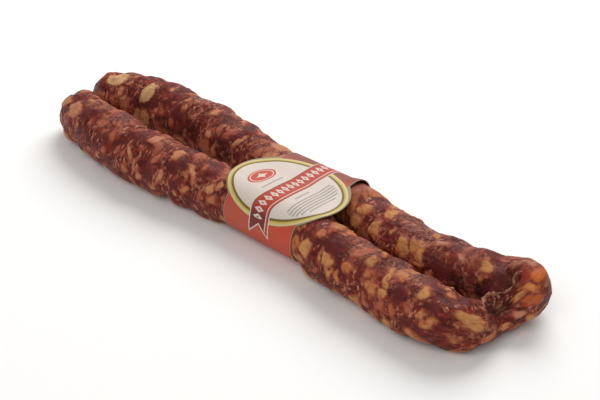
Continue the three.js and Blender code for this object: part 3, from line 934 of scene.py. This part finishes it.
# The row of lozenges, which ends on the front leg.
LOZENGE_EVERY = 3.9
LOZENGE_HALF = (3.3, 1.6)
LOZENGE_X = -1.1
LOZENGES_END_S = -34.7


def band_surface(x, s, inset, settings):
    """The band's section is a stadium: flat over the top, a half circle round each leg, flat underneath. It
    sags a little between the legs, and its edge towards the fold lifts off the rear leg."""
    half = (BAND_REAR_Y - BAND_FRONT_Y) / 2
    middle = (BAND_REAR_Y + BAND_FRONT_Y) / 2
    lift = settings.edge_lift / MM * smooth(x, 15, 25) * np.exp(-(((s - LIFT_S) / LIFT_SPREAD) ** 2))
    sag = settings.sag / MM * np.exp(-((s / SAG_SPREAD) ** 2)) * (1 - smooth(np.abs(x), 26, 36))
    radius = BAND_RADIUS - inset + lift - sag
    a = np.clip((np.abs(s) - half) / BAND_RADIUS, 0, np.pi)
    run = np.minimum(np.abs(s), half) - np.clip(np.abs(s) - half - np.pi * BAND_RADIUS, 0, None)
    y = middle + np.where(s < 0, -1, 1) * (run + radius * np.sin(a))
    return np.stack(np.broadcast_arrays(BAND_X + x, y, BAND_RADIUS + radius * np.cos(a)), -1)


def ellipse(m, x, s, half, middle_x=0.0):
    """A number that grows from 0 at an ellipse's middle and is 1 on its rim."""
    across, along = m.offset(x, middle_x, half[0]), m.offset(s, OVAL_PRINT_S, half[1])
    return m.math("SQRT", m.plus(m.times(across, across), m.times(along, along)))


def print_oval(m, settings, x, s, colour):
    """The cream oval in its ring: dark gold, gold, pale gold and the cut margin, from the inside out."""
    inner, outer = ellipse(m, x, s, RING_INNER), ellipse(m, x, s, RING_OUTER)
    across = m.math("DIVIDE", m.minus(inner, 1.0), m.plus(m.minus(inner, outer), 1e-4))
    ring = m.node("ShaderNodeValToRGB", Fac=across)
    stops = [
        (0.0, settings.olive), (0.36, settings.olive), (0.42, settings.gold), (0.6, settings.gold),
        (0.66, settings.pale_gold), (0.93, settings.pale_gold), (0.97, settings.margin),
        (1.0, settings.margin),
    ]
    while len(ring.color_ramp.elements) < len(stops):
        ring.color_ramp.elements.new(0.5)
    for element, (position, shade) in zip(ring.color_ramp.elements, stops):
        element.position, element.color = position, tuple(shade)
    colour = m.paint(colour, ring.outputs[0], outer, 1.0, 0.004)
    return m.paint(colour, settings.cream, inner, 1.0, 0.004)


def print_rules(m, settings, x, s, colour):
    """The fine grey rules, with soft edges."""
    for rule_x, low, high in RULES:
        beside = m.below(m.size(m.minus(x, rule_x)), RULE_HALF_WIDTH, RULE_SOFTNESS)
        within = m.times(m.ramp(s, low - RULE_SOFTNESS, low + RULE_SOFTNESS), m.below(s, high, RULE_SOFTNESS))
        colour = m.colour_mix(m.times(m.times(beside, within), RULE_STRENGTH), colour, settings.rule)
    return colour


def print_medallion(m, settings, x, s, colour):
    """The small oval medallion with a hoop and a star of four points, whose rim is where two powers sum to
    1."""
    disc = ellipse(m, x, s, MEDALLION_HALF, MEDALLION_X)
    colour = m.paint(colour, settings.medallion, disc, 1.0, 0.02)
    hoop = m.times(m.below(disc, 0.86, 0.02), m.ramp(disc, 0.76, 0.8))
    colour = m.colour_mix(hoop, colour, settings.cream)
    across, along = m.offset(x, MEDALLION_X, STAR_HALF[0]), m.offset(s, OVAL_PRINT_S, STAR_HALF[1])
    star = m.plus(m.math("POWER", m.size(across), 0.6), m.math("POWER", m.size(along), 0.6))
    return m.paint(colour, settings.cream, star, 0.95, 0.05)


def print_ribbon(m, settings, x, s, colour):
    """The ribbon, which crosses the oval from leg to leg and bends and is painted darker as shade where it
    turns down over the front one. It is notched at its tails and has a pale edge, a bright strip and a row of
    hollow lozenges."""
    from_oval = m.minus(s, OVAL_PRINT_S)
    from_bend = m.offset(s, BEND_S, BEND_SPREAD)
    bend = m.times(m.math("EXPONENT", m.times(m.times(from_bend, from_bend), -1.0)), BEND)
    from_ribbon = m.plus(m.minus(x, RIBBON_X), bend)
    off = m.size(from_ribbon)
    notch = m.ramp(s, 0.0, 5.0, TAIL_NOTCH, REAR_TAIL_NOTCH)
    tail = m.minus(m.plus(notch, m.times(off, TAIL_SLANT)), m.size(from_oval))
    inset = m.math("MINIMUM", m.minus(RIBBON_HALF_WIDTH, off), m.times(tail, 0.72))
    # Painted shade on the ribbon where it turns down over the front leg.
    field = m.coat(settings.ribbon, settings.ribbon_edge_and_painted_shade, s, *TURNED_DOWN)
    field = m.coat(field, settings.medallion, from_ribbon, STRIP_FROM - 0.1, STRIP_FROM + 0.1)
    field = m.paint(field, settings.cream, m.size(m.minus(from_ribbon, STRIP_FROM - 0.35)), 0.28)
    across = m.offset(from_ribbon, LOZENGE_X, LOZENGE_HALF[0])
    place_in_row = m.math("FLOORED_MODULO", from_oval, LOZENGE_EVERY)
    along = m.offset(place_in_row, LOZENGE_EVERY / 2, LOZENGE_HALF[1])
    lozenge = m.plus(m.size(across), m.size(along))
    row = m.times(m.below(lozenge, 1.0, 0.08), m.ramp(s, LOZENGES_END_S - 0.1, LOZENGES_END_S + 0.1))
    row = m.math("SUBTRACT", row, m.below(lozenge, 0.3, 0.08), clamp=True)
    field = m.colour_mix(row, field, settings.cream)
    # The ribbon's printed dark edge line, in the colour of its painted shade.
    field = m.paint(field, settings.ribbon_edge_and_painted_shade, inset, 1.25)
    field = m.paint(field, settings.cream, inset, 0.75)
    return m.coat(colour, field, inset, 0.0, 0.2)


def print_material(settings):
    """Printed satin paper, with painted shade where the panels and the ribbon turn away. Every edge of the
    print is worked out from the paper's own places.
    """
    m = Shader("printed_band")
    uv = m.node("ShaderNodeSeparateXYZ", Vector=m.node("ShaderNodeUVMap", {"uv_map": "paper"}).outputs[0])
    x = m.times(m.minus(uv.outputs[0], 0.5), UV_SPAN)
    s = m.times(m.minus(uv.outputs[1], 0.5), UV_SPAN)
    colour = m.coat(settings.panel, settings.panel_bright, x, *PANEL_BRIGHTENS)
    # Painted shade on the panels where they turn away towards the rear.
    colour = m.coat(colour, settings.panel_with_painted_shade, s, *PANEL_DARKENS)
    colour = m.coat(colour, settings.margin, m.size(x), MARGIN_FROM - 0.1, MARGIN_FROM + 0.1)
    for add in (print_oval, print_rules, print_medallion, print_ribbon):
        colour = add(m, settings, x, s, colour)
    own = m.node("ShaderNodeTexCoord").outputs["Object"]
    grain = m.noise(own, 900.0, 3.0, 0.6)
    colour = m.coat(colour, settings.rule, grain, 0.3, 0.8, 0.09)
    m.feed(m.surface.inputs["Base Color"], colour)
    m.surface.inputs["Roughness"].default_value = 0.55
    m.surface.inputs["Specular IOR Level"].default_value = 0.22
    m.bump(m.plus(m.noise(own, 90.0, 2.0, 0.5), m.times(grain, 0.05)), 0.35)
    return m.material


class BandSettings(bpy.types.PropertyGroup):
    """Sizes and colours of the paper band: its print, and the painted shade where it turns away."""

    edge_lift: length_property("Edge lift", "How far one edge stands off the rear leg", 1.5, 4)
    sag: length_property("Sag", "How far the paper sinks between the legs", 0.7, 3)
    cream: colour_property("Cream", "The oval", (208, 194, 182))
    panel: colour_property("Panel", "The red panels", (178, 78, 58))
    panel_bright: colour_property("Panel near the fold", "The red panels' brighter edge", (190, 72, 48))
    # The red panels painted darker as shade where they turn away.
    panel_with_painted_shade: colour_property("Panel at the rear", "The red panels where they turn away", (136, 72, 58))
    ribbon: colour_property("Ribbon", "The ribbon's field", (176, 62, 42))
    # Painted shade where the ribbon turns down, and the ribbon's printed dark edge line.
    ribbon_edge_and_painted_shade: colour_property("Ribbon's shade", "Where the ribbon turns down", (116, 44, 38))
    medallion: colour_property("Medallion", "The medallion and the ribbon's bright strip", (190, 72, 54))
    gold: colour_property("Gold", "The ring's middle", (190, 168, 72))
    pale_gold: colour_property("Pale gold", "The ring's outer line", (204, 186, 132))
    olive: colour_property("Dark gold", "The ring's inner line", (116, 96, 44))
    margin: colour_property("Margin", "The paper's cut margin", (150, 132, 102))
    rule: colour_property("Rule", "The fine grey rules", (128, 122, 116))


class SAUSAGE_OT_wrap_band(bpy.types.Operator):
    """Make the printed paper band in place of its CAD node"""

    bl_idname = "sausage.wrap_band"
    bl_label = "Wrap the band"

    def execute(self, context):
        settings = context.scene.sausage_band
        steps = PAPER_STEPS
        s = BAND_GIRTH * (np.arange(steps + 1) / steps - 0.5)
        t = np.clip((s - OVAL_S) / OVAL_HALF_GIRTH, -1, 1)
        half = np.maximum(BAND_HALF_WIDTH, OVAL_HALF_LENGTH * np.sqrt(1 - t * t))
        across = np.linspace(-1, 1, PAPER_COLUMNS + 1)
        x = half[:, None] * across
        s_grid = np.broadcast_to(s[:, None], x.shape)
        outer = band_surface(x, s_grid, 0, settings)
        inner = band_surface(x, s_grid, PAPER, settings)
        loop = np.concatenate([outer, inner[:, ::-1]], 1)
        loop_x = np.concatenate([x, x[:, ::-1]], 1)
        wide = loop.shape[1]
        i, j = np.meshgrid(np.arange(steps), np.arange(wide), indexing="ij")
        down, right = (i + 1) % steps, (j + 1) % wide
        quads = np.stack([i * wide + j, i * wide + right, down * wide + right, down * wide + j], -1)
        mesh = mesh_from("band", loop[:-1].reshape(-1, 3) * MM, quads.reshape(-1, 4))
        uv_x = np.stack([loop_x[i, j], loop_x[i, right], loop_x[i + 1, right], loop_x[i + 1, j]], -1)
        uv_s = np.stack([s[i], s[i], s[i + 1], s[i + 1]], -1)
        layer = mesh.uv_layers.new(name="paper")
        layer.data.foreach_set("uv", np.float32(np.stack([uv_x, uv_s], -1) / UV_SPAN + 0.5).ravel())
        place("printed_band", mesh, print_material(settings), "paper_band")
        return {"FINISHED"}


# The camera: degrees round and above, millimetres from its target, and the lens on a 36 mm sensor.
CAMERA_AZIMUTH = 42.51
CAMERA_ELEVATION = 31.36
CAMERA_DISTANCE = 545.59
CAMERA_TARGET = (23.19, 2.63, 15)
CAMERA_LENS = 60.02
SENSOR = 36
# The floor and the two soft lights, in metres, and the front light's share of the rear one's power.
FLOOR_HALF = 6.0
LIGHT_DIAMETER = 0.9
FRONT_SHARE = 0.42


class StageSettings(bpy.types.PropertyGroup):
    """Floor and light."""

    floor: colour_property("Floor", "The pale floor", (244, 243, 241))
    sky: bpy.props.FloatProperty(
        name="Sky", description="Strength of the even light from all round", default=0.4, min=0, max=5
    )
    key: bpy.props.FloatProperty(
        name="Softbox", description="Strength of the large light overhead", default=11.0, min=0, max=100,
        unit="POWER",
    )


class SAUSAGE_OT_set_stage(bpy.types.Operator):
    """Put the floor, the soft light and the camera"""

    bl_idname = "sausage.set_stage"
    bl_label = "Set the stage"

    def execute(self, context):
        settings = context.scene.sausage_stage
        scene = context.scene
        corners = FLOOR_HALF * np.array([[-1, -1, 0], [1, -1, 0], [1, 1, 0], [-1, 1, 0]])
        mesh = mesh_from("floor", corners, np.array([[0, 1, 2, 3]]))
        m = Shader("pale_floor")
        m.surface.inputs["Base Color"].default_value = tuple(settings.floor)
        m.surface.inputs["Roughness"].default_value = 0.9
        m.surface.inputs["Specular IOR Level"].default_value = 0.1
        mesh.materials.append(m.material)
        floor = bpy.data.objects.new("floor", mesh)
        scene.collection.objects.link(floor)
        world = bpy.data.worlds.new("soft_sky")
        world.use_nodes = True
        sky = world.node_tree.nodes["Background"]
        sky.inputs[0].default_value = (1, 1, 1, 1)
        sky.inputs[1].default_value = settings.sky
        scene.world = world
        area_light("softbox_rear", (-0.25, 0.7, 0.8), LIGHT_DIAMETER, settings.key)
        area_light("softbox_front", (0.2, -0.8, 0.9), LIGHT_DIAMETER, settings.key * FRONT_SHARE)
        azimuth, elevation = math.radians(CAMERA_AZIMUTH), math.radians(CAMERA_ELEVATION)
        target = Vector(CAMERA_TARGET) * MM
        back = Vector((math.sin(azimuth) * math.cos(elevation), -math.cos(azimuth) * math.cos(elevation),
                       math.sin(elevation)))
        lens = bpy.data.cameras.new("camera")
        lens.sensor_width, lens.lens, lens.clip_start = SENSOR, CAMERA_LENS, 0.01
        camera = bpy.data.objects.new("camera", lens)
        camera.matrix_world = looking(target + back * CAMERA_DISTANCE * MM, target)
        scene.collection.objects.link(camera)
        scene.camera = camera
        scene.view_settings.view_transform = "Standard"
        return {"FINISHED"}


def area_light(name, where, diameter, energy):
    """A round soft light that points at the origin."""
    light = bpy.data.lights.new(name, "AREA")
    light.shape, light.size, light.energy = "DISK", diameter, energy
    lamp = bpy.data.objects.new(name, light)
    lamp.matrix_world = looking(Vector(where), Vector((0, 0, 0)))
    bpy.context.scene.collection.objects.link(lamp)


def looking(eye, target):
    """A placement at eye whose -Z points at the target, with Z up."""
    return Matrix.Translation(eye) @ (eye - target).to_track_quat("Z", "Y").to_matrix().to_4x4()


class SAUSAGE_PT_panel(bpy.types.Panel):
    """Lists the pieces in the sidebar"""

    bl_label = "Cured Sausage"
    bl_idname = "SAUSAGE_PT_panel"
    bl_space_type = "VIEW_3D"
    bl_region_type = "UI"
    bl_category = "Sausage"

    def draw(self, context):
        for group, operator in zip(GROUPS, OPERATORS):
            box = self.layout.box()
            box.operator(operator.bl_idname)
            settings = getattr(context.scene, group)
            for name in settings.bl_rna.properties.keys():
                if name not in ("rna_type", "name"):
                    box.prop(settings, name)


GROUPS = {"sausage": SausageSettings, "sausage_band": BandSettings, "sausage_stage": StageSettings}
OPERATORS = (SAUSAGE_OT_fill_casing, SAUSAGE_OT_wrap_band, SAUSAGE_OT_set_stage)
CLASSES = (*GROUPS.values(), *OPERATORS, SAUSAGE_PT_panel)


def register():
    for made in CLASSES:
        bpy.utils.register_class(made)
    for name, group in GROUPS.items():
        setattr(bpy.types.Scene, name, bpy.props.PointerProperty(type=group))


def unregister():
    for name in GROUPS:
        delattr(bpy.types.Scene, name)
    for made in reversed(CLASSES):
        bpy.utils.unregister_class(made)


def main():
    register()
    bpy.ops.sausage.fill_casing()
    bpy.ops.sausage.wrap_band()
    bpy.ops.sausage.set_stage()


if __name__ == "__main__":
    main()
